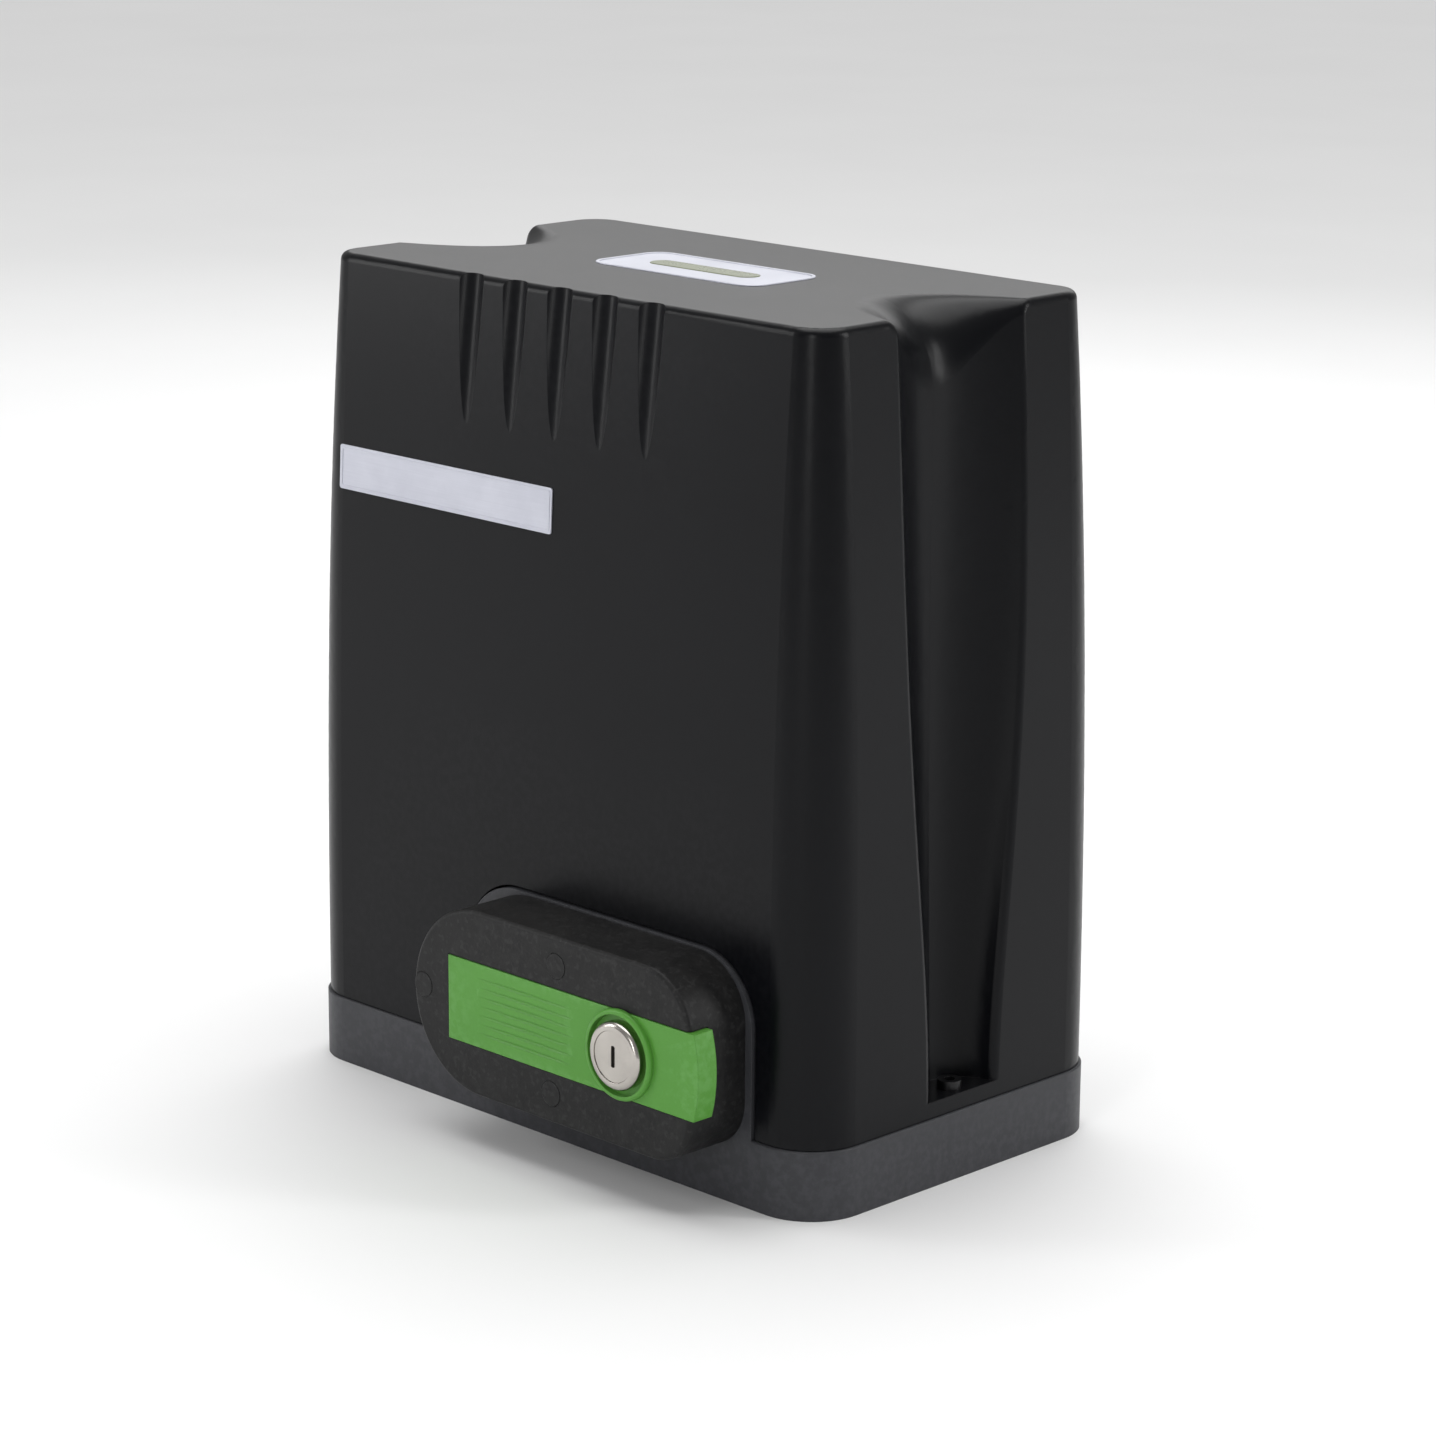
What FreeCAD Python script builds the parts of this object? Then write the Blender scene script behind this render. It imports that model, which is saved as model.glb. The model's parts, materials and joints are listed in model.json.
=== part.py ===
import FreeCAD, Part
import os
from math import acos, asin, atan2, cos, pi, radians, sin, tan

import Sketcher
from FreeCAD import Placement, Rotation, Vector

# Sliding gate motor, in millimetres.
# Origin: centre of the base's footprint, on its underside. +X right, -Y the release side, +Z up.

doc = FreeCAD.newDocument("sliding_gate_motor")

DIMENSIONS = {
    # base casting
    "base_width": 262.6, "base_depth": 151.0, "base_height": 24.5, "base_corner": 21.6,
    "base_wall": 6.0, "deck_thickness": 5.0,
    "anchor_across": 95.0, "anchor_deep": 50.0, "anchor_radius": 5.5, "anchor_length": 30.0,
    # cover
    "total_height": 300.0, "cover_step": 1.0, "cover_crown": 8.2, "cover_wall": 3.0,
    "screw_across": 124.0, "top_fillet": 3.0,
    "flute_pitch": 22.3, "flute_radius": 8.0, "flute_depth": 2.9, "flute_foot": 249.0,
    "arch_left": -40.0, "arch_right": 103.5, "arch_top": 88.0, "arch_corner": 26.0, "arch_gap": 0.8,
    # drive line
    "output_across": -5.0, "output_up": 53.0, "shaft_radius": 12.5, "shaft_front": 34.0,
    "wheel_module": 2.0, "wheel_teeth": 40.0, "wheel_width": 14.0, "worm_radius": 12.0,
    "worm_shaft_radius": 7.0, "worm_shaft_foot": 14.0, "worm_shaft_length": 218.0,
    "pinion_module": 4.0, "pinion_teeth": 16.0, "pinion_width": 26.0, "pinion_front": 84.0,
    "case_radius": 51.0, "case_bore": 44.0, "case_half": 22.0, "lid_thickness": 6.0,
    "boss_radius": 22.0, "boss_end": 80.0, "bush_radius": 16.0, "running_gap": 0.05,
    "motor_radius": 50.0, "motor_bottom": 122.0, "motor_height": 104.0, "rotor_radius": 28.0,
    # release unit
    "housing_front": 101.5, "housing_back": 75.5, "housing_left": -38.7, "housing_right": 99.7,
    "housing_bottom": 19.0, "housing_top": 86.4,
    "lever_left": -20.0, "lever_right": 101.2, "lever_bottom": 37.4, "lever_top": 67.8,
    "lever_face": 101.8, "lever_thickness": 8.6, "lever_gap": 0.3,
    "hinge_across": -14.0, "hinge_back": 96.0, "hinge_pin_radius": 2.0, "hinge_sweep": 8.4,
    "lock_across": 67.0, "lock_up": 52.6, "bezel_radius": 12.0, "barrel_radius": 11.0,
    "plug_radius": 9.0, "plunger_radius": 5.0, "plug_hole_radius": 4.6,
    # trims
    "label_left": -111.0, "label_width": 111.5, "label_bottom": 216.0, "label_height": 16.0,
    "badge_width": 82.0, "badge_depth": 36.0, "badge_corner": 9.0, "trim_thickness": 0.8,
}

sheet = doc.addObject("Spreadsheet::Sheet", "dims")
for row, (alias, value) in enumerate(DIMENSIONS.items(), start=1):
    sheet.set(f"A{row}", alias)
    sheet.set(f"B{row}", str(value))
    sheet.setAlias(f"B{row}", alias)
scratch = doc.addObject("Spreadsheet::Sheet", "scratch")
doc.recompute()


def dim(alias):
    """A driving dimension, read back from the sheet."""
    return float(sheet.get(alias))


def value_of(formula):
    """What a formula on the sheet's cells comes to; a sketch starts from it."""
    scratch.set("A1", "=" + formula)
    scratch.recompute()
    return float(scratch.get("A1"))


NODES = []


def keep(feature, label):
    """Name a finished sub-part; its label is its file's name."""
    feature.Label = label
    NODES.append(feature)
    return feature


# ------------------------------------------------------------ sketches and their features

def new_body(name, at=(0, 0, 0)):
    body = doc.addObject("PartDesign::Body", name)
    body.Placement = Placement(Vector(*at), Rotation())
    return body


def new_sketch(body, plane, offset="0"):
    """A sketch on one of the body's origin planes, set off along that plane's normal.

    XY's normal is +Z, XZ's is -Y (sketch x, y are X, Z) and YZ's is +X (sketch x, y are Y, Z).
    """
    sketch = body.newObject("Sketcher::SketchObject", body.Name + "_sketch")
    support = next(f for f in body.Origin.OriginFeatures if f.Role == plane + "_Plane")
    sketch.AttachmentSupport = [(support, "")]
    sketch.MapMode = "FlatFace"
    sketch.setExpression("AttachmentOffset.Base.z", offset)
    return sketch


def bind(sketch, kind, *where_and_formula):
    """Add a sized constraint and bind it to a formula on the sheet."""
    *where, formula = where_and_formula
    index = sketch.addConstraint(Sketcher.Constraint(kind, *where, value_of(formula)))
    sketch.renameConstraint(index, f"size{index}")
    sketch.setExpression(f".Constraints.size{index}", formula)


def line(x1, y1, x2, y2):
    return Part.LineSegment(Vector(x1, y1, 0), Vector(x2, y2, 0))


def arc(cx, cy, radius, start, end):
    """Counter-clockwise arc, angles in degrees."""
    round_line = Part.Circle(Vector(cx, cy, 0), Vector(0, 0, 1), radius)
    return Part.ArcOfCircle(round_line, radians(start), radians(end))


def rectangle(sketch, left, bottom, width, height, corner="3", others=None):
    """A rounded rectangle from formulas; others gives the other three corners, counter-clockwise.

    The first corner is the bottom right one.
    """
    corners = [corner] + (others or [corner] * 3)
    x, y, w, h = (value_of(f) for f in (left, bottom, width, height))
    br, tr, tl, bl = (value_of(f) for f in corners)
    first = sketch.GeometryCount
    for piece in (line(x + bl, y, x + w - br, y), arc(x + w - br, y + br, br, 270, 360),
                  line(x + w, y + br, x + w, y + h - tr), arc(x + w - tr, y + h - tr, tr, 0, 90),
                  line(x + w - tr, y + h, x + tl, y + h), arc(x + tl, y + h - tl, tl, 90, 180),
                  line(x, y + h - tl, x, y + bl), arc(x + bl, y + bl, bl, 180, 270)):
        sketch.addGeometry(piece, False)
    for step in range(8):
        here, after = first + step, first + (step + 1) % 8
        sketch.addConstraint(Sketcher.Constraint("Tangent", here, 2, after, 1))
    for step, way in ((0, "Horizontal"), (2, "Vertical"), (4, "Horizontal"), (6, "Vertical")):
        sketch.addConstraint(Sketcher.Constraint(way, first + step))
    for step, formula in zip((1, 3, 5, 7), corners):
        bind(sketch, "Radius", first + step, formula)
    bind(sketch, "DistanceX", first + 6, 1, first + 2, 1, width)
    bind(sketch, "DistanceY", first, 1, first + 4, 1, height)
    bind(sketch, "DistanceX", -1, 1, first + 6, 1, left)
    bind(sketch, "DistanceY", -1, 1, first, 1, bottom)


def centred(sketch, width, depth, corner):
    """A rounded rectangle about the sketch's origin."""
    rectangle(sketch, f"-({width}) / 2", f"-({depth}) / 2", width, depth, corner)


def ring(sketch, cx, cy, radius):
    """A circle from formulas."""
    x, y, r = (value_of(f) for f in (cx, cy, radius))
    index = sketch.addGeometry(Part.Circle(Vector(x, y, 0), Vector(0, 0, 1), r), False)
    bind(sketch, "Radius", index, radius)
    bind(sketch, "DistanceX", -1, 1, index, 3, cx)
    bind(sketch, "DistanceY", -1, 1, index, 3, cy)


def slot(sketch, cx, cy, length, radius):
    """A slot along the sketch's x, rounded at both ends."""
    x, y, l, r = (value_of(f) for f in (cx, cy, length, radius))
    half = l / 2 - r
    first = sketch.GeometryCount
    for piece in (line(x - half, y - r, x + half, y - r), arc(x + half, y, r, -90, 90),
                  line(x + half, y + r, x - half, y + r), arc(x - half, y, r, 90, 270)):
        sketch.addGeometry(piece, False)
    for step in range(4):
        here, after = first + step, first + (step + 1) % 4
        sketch.addConstraint(Sketcher.Constraint("Tangent", here, 2, after, 1))
    sketch.addConstraint(Sketcher.Constraint("Horizontal", first))
    sketch.addConstraint(Sketcher.Constraint("Equal", first + 1, first + 3))
    bind(sketch, "Radius", first + 1, radius)
    bind(sketch, "DistanceX", first + 3, 3, first + 1, 3, f"{length} - 2 * {radius}")
    bind(sketch, "DistanceX", -1, 1, first + 1, 3, f"{cx} + {length} / 2 - {radius}")
    bind(sketch, "DistanceY", -1, 1, first + 1, 3, cy)


def outline(sketch, pieces):
    """A closed loop of lines and arcs, joined where one ends and the next begins."""
    first = sketch.GeometryCount
    for piece in pieces:
        sketch.addGeometry(piece, False)
    count = len(pieces)
    for step in range(count):
        here, after = first + step, first + (step + 1) % count
        ends = [(sketch.getPoint(here, e).distanceToPoint(sketch.getPoint(after, s)), e, s)
                for e in (1, 2) for s in (1, 2)]
        _, end, start = min(ends)
        sketch.addConstraint(Sketcher.Constraint("Coincident", here, end, after, start))


def corners(sketch, points):
    """A closed outline of straight lines through its corners."""
    outline(sketch, [line(*a, *b) for a, b in zip(points, points[1:] + points[:1])])


def pad(body, sketch, length):
    """Add material along the sketch plane's normal."""
    feature = body.newObject("PartDesign::Pad", body.Name + "_pad")
    feature.Profile = sketch
    feature.setExpression("Length", length)
    return feature


def pocket(body, sketch, length, along_normal=False):
    """Take material away, against the sketch plane's normal unless told otherwise."""
    feature = body.newObject("PartDesign::Pocket", body.Name + "_pocket")
    feature.Profile = sketch
    feature.setExpression("Length", length)
    feature.Reversed = along_normal
    return feature


def turned(body, sketch, axis="V_Axis"):
    """A full revolution of a half section."""
    feature = body.newObject("PartDesign::Revolution", body.Name + "_turn")
    feature.Profile = sketch
    feature.ReferenceAxis = (sketch, [axis])
    feature.Angle = 360
    return feature


def loft(body, sections, taken_away=False):
    kind = "PartDesign::SubtractiveLoft" if taken_away else "PartDesign::AdditiveLoft"
    feature = body.newObject(kind, body.Name + "_loft")
    feature.Profile = sections[0]
    feature.Sections = sections[1:]
    return feature


def mirrored(body, feature, plane="YZ"):
    twin = body.newObject("PartDesign::Mirrored", body.Name + "_mirror")
    support = next(f for f in body.Origin.OriginFeatures if f.Role == plane + "_Plane")
    twin.Originals = [feature]
    twin.MirrorPlane = (support, [""])
    body.Tip = twin
    return twin


def row_of(body, feature, axis, length, count):
    """Repeat a feature along one of the body's axes."""
    pattern = body.newObject("PartDesign::LinearPattern", body.Name + "_row")
    support = next(f for f in body.Origin.OriginFeatures if f.Role == axis + "_Axis")
    pattern.Originals = [feature]
    pattern.Direction = (support, [""])
    pattern.setExpression("Length", length)
    pattern.Occurrences = count
    body.Tip = pattern
    return pattern


def round_about(body, feature, axis, count):
    """Repeat a feature round one of the body's axes."""
    pattern = body.newObject("PartDesign::PolarPattern", body.Name + "_round")
    support = next(f for f in body.Origin.OriginFeatures if f.Role == axis + "_Axis")
    pattern.Originals = [feature]
    pattern.Axis = (support, [""])
    pattern.Angle = 360
    pattern.Occurrences = count
    body.Tip = pattern
    return pattern


def soften(body, radius, chosen, kind="Fillet"):
    """Fillet or chamfer the tip's edges that the test chooses."""
    doc.recompute()
    tip = body.Tip
    names = [f"Edge{n}" for n, edge in enumerate(tip.Shape.Edges, start=1) if chosen(edge)]
    feature = body.newObject("PartDesign::" + kind, body.Name + "_" + kind.lower())
    feature.Base = (tip, names)
    feature.setExpression("Radius" if kind == "Fillet" else "Size", radius)
    return feature


def lies_at(edge, height):
    """True for an edge that lies in the level plane at that height."""
    box = edge.BoundBox
    return abs(box.ZMin - height) < 1e-3 and abs(box.ZMax - height) < 1e-3


# ------------------------------------------------------------ primitives and booleans

TURN = {"z": Rotation(), "-z": Rotation(Vector(1, 0, 0), 180),
        "y": Rotation(Vector(1, 0, 0), -90), "x": Rotation(Vector(0, 1, 0), 90)}


def solid(kind, name, at, along="z", **sizes):
    """A Part primitive whose sizes are formulas on the sheet."""
    feature = doc.addObject("Part::" + kind, name)
    for size, formula in sizes.items():
        feature.setExpression(size, formula)
    feature.Placement = Placement(Vector(*at), TURN[along])
    return feature


def rod(name, at, along, radius, length):
    return solid("Cylinder", name, at, along, Radius=radius, Height=length)


def block(name, at, length, width, height):
    return solid("Box", name, at, Length=length, Width=width, Height=height)


def joined(name, shapes):
    feature = doc.addObject("Part::MultiFuse", name)
    feature.Shapes = shapes
    feature.Refine = True
    return feature


def cut(name, base, tools):
    """Base less its tools."""
    feature = doc.addObject("Part::Cut", name)
    feature.Base = base
    feature.Tool = tools[0] if len(tools) == 1 else joined(name + "_tools", tools)
    feature.Refine = True
    return feature


def apart(name, shapes):
    """Separate solids kept in one node, such as a set of screws."""
    feature = doc.addObject("Part::Compound", name)
    feature.Links = shapes
    return feature


def sleeve(name, at, along, outer, inner, length):
    """A plain ring or tube."""
    return cut(name, rod(name + "_outer", at, along, outer, length), [rod(name + "_bore", at, along, inner, length)])


OX, OZ = dim("output_across"), dim("output_up")
WORM_X = OX + dim("wheel_module") * dim("wheel_teeth") / 2 + dim("worm_radius")
DECK = dim("base_height")
TOP = dim("total_height")
LOCK_X, LOCK_Z = dim("lock_across"), dim("lock_up")
HINGE_X, HINGE_Y = dim("hinge_across"), -dim("hinge_back")
HOUSING_SCREWS = [(-33.6, 53.6), (34.7, 76.0), (32.1, 29.6)]


# ------------------------------------------------------------ base casting

def base_casting():
    """A ribbed tray with anchor slots, a well for the gear case and an upstand behind the release."""
    body = new_body("BaseCasting")
    footprint = new_sketch(body, "XY")
    centred(footprint, "dims.base_width", "dims.base_depth", "dims.base_corner")
    pad(body, footprint, "dims.base_height")
    soften(body, "0.6", lambda edge: lies_at(edge, DECK))

    hollow = new_sketch(body, "XY")
    centred(hollow, "dims.base_width - 2 * dims.base_wall", "dims.base_depth - 2 * dims.base_wall",
            "dims.base_corner - dims.base_wall")
    pocket(body, hollow, "dims.base_height - dims.deck_thickness", along_normal=True)

    anchors = new_sketch(body, "XY")
    for across in (-1, 1):
        for deep in (-1, 1):
            rectangle(anchors, f"{across} * dims.anchor_across - 22", f"{deep} * dims.anchor_deep - 13",
                      "44", "26", "8")
    pad(body, anchors, "dims.base_height - 1")

    well = new_sketch(body, "XY", "3")
    rectangle(well, "-64", "-38", "146", "71", "8")
    pad(body, well, "dims.base_height - 4")
    ribs = new_sketch(body, "XY", "5")
    for left, bottom, width, depth in ((-127, -3, 64, 6), (81, -3, 46, 6), (-20, -71, 5, 40), (30, -71, 5, 40),
                                       (-20, 31, 5, 40), (30, 31, 5, 40)):
        rectangle(ribs, str(left), str(bottom), str(width), str(depth), "0.8")
    pad(body, ribs, "dims.base_height - 6")
    posts = new_sketch(body, "XY", "4")
    for side in (-1, 1):
        ring(posts, f"{side} * (dims.screw_across - 2)", "0", "6.5")
    pad(body, posts, "dims.base_height - 5")

    upstand = new_sketch(body, "XZ", "dims.housing_back - 6")
    rectangle(upstand, "dims.arch_left + dims.arch_gap", "12",
              "dims.arch_right - dims.arch_left - 2 * dims.arch_gap", "dims.arch_top - dims.arch_gap - 12",
              "3", ["dims.arch_corner - dims.arch_gap"] * 2 + ["3"])
    pad(body, upstand, "6")
    for across in (-28, 50, 86):
        gusset = new_sketch(body, "YZ", str(across))
        corners(gusset, [(-69.5, 20), (-58, 20), (-69.5, 60)])
        pad(body, gusset, "4")

    slots = new_sketch(body, "XY")
    for across in (-1, 1):
        for deep in (-1, 1):
            slot(slots, f"{across} * dims.anchor_across", f"{deep} * dims.anchor_deep",
                 "dims.anchor_length", "dims.anchor_radius")
    pocket(body, slots, "dims.base_height + 1", along_normal=True)
    openings = new_sketch(body, "XY")
    rectangle(openings, "-58", "-35", "134", "62", "5")
    rectangle(openings, "-64", "-62", "36", "22", "10.9")
    pocket(body, openings, "dims.base_height + 1", along_normal=True)
    screw_holes = new_sketch(body, "XY", "dims.base_height")
    for side in (-1, 1):
        ring(screw_holes, f"{side} * dims.screw_across", "0", "2")
    pocket(body, screw_holes, "14")
    bolt_holes = new_sketch(body, "XY", "dims.base_height")
    for across in (-61, 79):
        for deep in (-30, 30):
            ring(bolt_holes, str(across), str(deep), "2.5")
    pocket(body, bolt_holes, "16")
    release_holes = new_sketch(body, "XZ", "dims.housing_back")
    ring(release_holes, "dims.output_across", "dims.output_up", "dims.plunger_radius + 3")
    for x, z in HOUSING_SCREWS:
        ring(release_holes, str(x), str(z), "2.05")
    pocket(body, release_holes, "20")
    return keep(body, "base_casting")


# ------------------------------------------------------------ cover

CROWN_POWER = 2.4
LEVELS = 5


def wall_inset(height):
    """How far the cover's wall stands in from the base's edge at a height."""
    share = max(0.0, (height - DECK) / (TOP - DECK))
    return dim("cover_step") + dim("cover_crown") * share ** CROWN_POWER


def crowned_block(body, shrink, low, high):
    """A block with softly crowned walls, lofted through rounded rectangles."""
    sections = []
    for level in range(LEVELS + 1):
        height = low + (high - low) * level / LEVELS
        inset = f"{wall_inset(height) - dim('cover_step'):.4f} + dims.cover_step + {shrink}"
        section = new_sketch(body, "XY", str(height))
        centred(section, f"dims.base_width - 2 * ({inset})", f"dims.base_depth - 2 * ({inset})",
                f"dims.base_corner - ({inset})")
        sections.append(section)
    return loft(body, sections)


# Side channel for the cover screw: height, innermost point across, half width at the wall.
CHANNEL = [(30.5, 115.0, 16.0), (90.0, 113.2, 20.0), (150.0, 111.8, 26.0), (225.0, 110.8, 29.8),
           (305.0, 110.0, 31.5)]


def channel(body, side, grow):
    """One side channel, narrowing down to a half round; grow keeps the wall's thickness round it."""
    sections = []
    for height, inner, half in CHANNEL:
        wall = dim("base_width") / 2 - wall_inset(min(height, TOP))
        depth, width = wall - inner + grow, half + grow
        radius = (width * width + depth * depth) / (2 * depth)
        centre = side * (inner - grow + radius)
        section = new_sketch(body, "XY", str(height - grow))
        turn = 0 if side > 0 else 180
        outline(section, [arc(centre, 0, radius, start + turn, end + turn)
                          for start, end in ((90, 180), (180, 270), (270, 450))])
        sections.append(section)
    return loft(body, sections, taken_away=True)


def rolled(name, block_feature, chosen):
    """A Part fillet whose radii run from one end of each chosen edge to the other."""
    doc.recompute()
    feature = doc.addObject("Part::Fillet", name)
    feature.Base = block_feature
    feature.Edges = [(n, *radii) for n, radii in chosen(block_feature.Shape)]
    doc.recompute()
    return feature


def mouth_edges(shape, height, middle, end):
    """The channels' rims: wide roll at the middle of each channel, small at its ends."""
    found = []
    for number, edge in enumerate(shape.Edges, start=1):
        points = [vertex.Point for vertex in edge.Vertexes]
        if not lies_at(edge, height) or min(abs(point.y) for point in points) > 0.01:
            continue
        if min(abs(point.x) for point in points) > 100 and max(abs(point.y) for point in points) < 36:
            found.append((number, [middle if abs(point.y) < 0.01 else end for point in points]))
    return found


def top_edges(shape):
    """The hood's outer top edge, leaving the channels' mouths as they are."""
    found = []
    for number, edge in enumerate(shape.Edges, start=1):
        middle = edge.valueAt((edge.FirstParameter + edge.LastParameter) / 2)
        if lies_at(edge, TOP) and (abs(middle.x) > 115 or abs(middle.y) > 60):
            found.append((number, [dim("top_fillet")] * 2))
    return found


def hood(name, shrink, low, high, grow, roll):
    """A crowned block with both side channels, their mouths rolled over at the top."""
    body = new_body(name)
    crowned_block(body, shrink, low, high)
    right = channel(body, 1, grow)
    body.Tip = right
    mirrored(body, right)
    return rolled(name + "Mouths", body, lambda shape: mouth_edges(shape, high, roll, 5.0))


def flutes(grow):
    """Five tapering scoops in the front's top edge: round cutters that lean in towards the top."""
    low, face = dim("flute_foot"), -dim("base_depth") / 2
    lean_in = (wall_inset(TOP) + dim("flute_depth") - wall_inset(low)) / (TOP - low)
    cutters = []
    for place in range(-2, 3):
        cutter = rod("Flute", (0, 0, 0), "z", f"dims.flute_radius + {grow}", "80")
        foot = Vector(place * dim("flute_pitch"), face + wall_inset(low) - dim("flute_radius") - 12 * lean_in,
                      low - 12)
        cutter.Placement = Placement(foot, Rotation(Vector(0, 0, 1), Vector(0, lean_in, 1)))
        cutters.append(cutter)
    return cutters


def arch_cutter(name, plane_offset, left, width, top, corner):
    """An upright opening with rounded top corners, cut through one wall."""
    body = new_body(name)
    shape = new_sketch(body, "XZ", plane_offset)
    rectangle(shape, left, "4", width, f"{top} - 4", "3", [corner, corner, "3"])
    pad(body, shape, "16")
    return body


def cover():
    """The moulded hood: crowned walls, side channels, flutes, and arches for release and output."""
    mouths = hood("CoverHull", "0", DECK, TOP, 0.0, 28.0)
    hull = rolled("CoverTopEdge", mouths, top_edges)
    wall = dim("cover_wall")
    cavity = hood("CoverCavity", "dims.cover_wall", DECK - 1, TOP - wall, wall, 28.0 - wall)
    hollow = cut("CoverHollow", cavity, flutes(wall - 0.6))
    arches = [
        arch_cutter("ReleaseArch", "dims.base_depth / 2 - 14", "dims.arch_left",
                    "dims.arch_right - dims.arch_left", "dims.arch_top", "dims.arch_corner"),
        arch_cutter("OutputArch", "-dims.base_depth / 2 - 2", "dims.output_across - dims.boss_radius - 3",
                    "2 * dims.boss_radius + 6", "dims.output_up + dims.boss_radius + 3",
                    "dims.boss_radius + 2.5"),
    ]
    holes = []
    for side in (-1, 1):
        across = side * dim("screw_across")
        holes.append(rod("ScrewHole", (across, 0, DECK - 2), "z", "2.4", "12"))
    return keep(cut("Cover", hull, [hollow, *flutes(0), *arches, *holes]), "cover")



# ------------------------------------------------------------ gear teeth

PRESSURE_ANGLE = radians(20)


def involute(angle):
    return tan(angle) - angle


def gap_half_angle(radius, pitch_radius, teeth, slack):
    """Half the angle of the gap between two teeth, at a radius."""
    base = pitch_radius * cos(PRESSURE_ANGLE)
    here = acos(base / radius) if radius > base else 0.0
    return pi / (2 * teeth) + slack / (2 * pitch_radius) + involute(here) - involute(PRESSURE_ANGLE)


def tooth_gap(module, teeth, slack, turn):
    """Outline of one gap: a root arc, two involute flanks as arcs, and a cap beyond the tips."""
    pitch_radius = module * teeth / 2
    root, beyond = pitch_radius - 1.25 * module, pitch_radius + 1.3 * module
    base = max(pitch_radius * cos(PRESSURE_ANGLE), root + 0.01)

    def at(radius, side):
        angle = turn + side * gap_half_angle(max(radius, base), pitch_radius, teeth, slack)
        return Vector(radius * cos(angle), radius * sin(angle), 0)

    def flank(side, outward):
        points = [at(base, side), at((base + beyond) / 2, side), at(beyond, side)]
        return Part.Arc(*(points if outward else points[::-1]))

    return [Part.Arc(at(root, -1), Vector(root * cos(turn), root * sin(turn), 0), at(root, 1)),
            Part.LineSegment(at(root, 1), at(base, 1)), flank(1, True),
            Part.LineSegment(at(beyond, 1), at(beyond, -1)), flank(-1, False),
            Part.LineSegment(at(base, -1), at(root, -1))]


def gear(name, front, width, module, teeth, slack, bore, turn=0.0, lean=0.0):
    """A toothed wheel about the output axis; lean slants its teeth for a worm."""
    body = new_body(name, (OX, 0, OZ))
    blank = new_sketch(body, "XZ", f"-({front} + {width})")
    ring(blank, "0", "0", f"{module} * ({teeth} / 2 + 1)")
    ring(blank, "0", "0", bore)
    pad(body, blank, width)
    size, count = value_of(module), int(value_of(teeth))
    gap = new_sketch(body, "XZ", f"-({front})")
    outline(gap, tooth_gap(size, count, slack, turn))
    notch = pocket(body, gap, width)
    if lean:
        notch.UseCustomVector = True
        notch.Direction = Vector(0, cos(lean), -sin(lean))
        notch.setExpression("Length", f"{width} * 1.01")
    round_about(body, notch, "Y", count)
    return body


# ------------------------------------------------------------ gearbox and drive line

def gearbox_housing():
    """Cast case: a round wheel chamber, an upright worm barrel, the output boss and the motor seat."""
    plate = new_body("GearPlate")
    flange = new_sketch(plate, "XY", "dims.base_height")
    rectangle(flange, "-68", "-38", "154", "76", "10")
    pad(plate, flange, "7")
    worm_top = dim("motor_bottom")
    front = -dim("case_half")
    solids = [
        plate,
        rod("WheelChamber", (OX, front, OZ), "y", "dims.case_radius", "2 * dims.case_half"),
        rod("WormBarrel", (WORM_X, 0, 8), "z", "25", "dims.motor_bottom - 8"),
        rod("MotorSeat", (WORM_X, 0, worm_top - 9), "z", "dims.motor_radius", "9"),
        rod("OutputBoss", (OX, 0, OZ), "y", "dims.boss_radius", "dims.boss_end"),
    ]
    for across in (-1, 1):
        web = block("SeatWeb", (WORM_X + across * 36 - 4, -2.5, DECK), "8", "5", "dims.motor_bottom - dims.base_height - 4")
        solids.append(web)
    for turn in range(8):
        angle = pi * turn / 8 + pi / 16
        solids.append(rod("CaseRib", (OX - 52.2 * cos(angle), front, OZ + 52.2 * sin(angle)), "y", "1.6", "2 * dims.case_half"))
    hollows = [
        rod("LidRoom", (OX, -39, OZ), "y", "dims.case_radius + 1.5", "39 - dims.case_half"),
        rod("WheelRoom", (OX, front - 1, OZ), "y", "dims.case_bore", "2 * dims.case_half - 5"),
        rod("WormRoom", (WORM_X, 0, 24), "z", "17", "76"),
        rod("LowerSeat", (WORM_X, 0, 14), "z", "14", "12"),
        rod("UpperSeat", (WORM_X, 0, 100), "z", "16", "12"),
        rod("ShaftExit", (WORM_X, 0, 100), "z", "10", "30"),
        rod("BushSeat", (OX, 10, OZ), "y", "dims.bush_radius", "dims.boss_end"),
        rod("SealSeat", (OX, dim("boss_end") - 7, OZ), "y", "17.5", "10"),
    ]
    hollows += [rod("LidHole", (OX + 47.6 * cos(pi * n / 3 + pi / 6), front - 1, OZ + 47.6 * sin(pi * n / 3 + pi / 6)),
                    "y", "1.6", "14") for n in range(6)]
    hollows += [rod("BoltHole", (x, y, DECK - 1), "z", "3.2", "10") for x in (-61, 79) for y in (-30, 30)]
    hollows += [rod("MotorHole", (WORM_X + 43 * cos(a), 43 * sin(a), worm_top - 10), "z", "2.2", "12")
                for a in (pi / 4 + k * pi / 2 for k in range(4))]
    return keep(cut("GearboxHousing", joined("GearboxCase", solids), hollows), "gearbox_housing")


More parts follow.
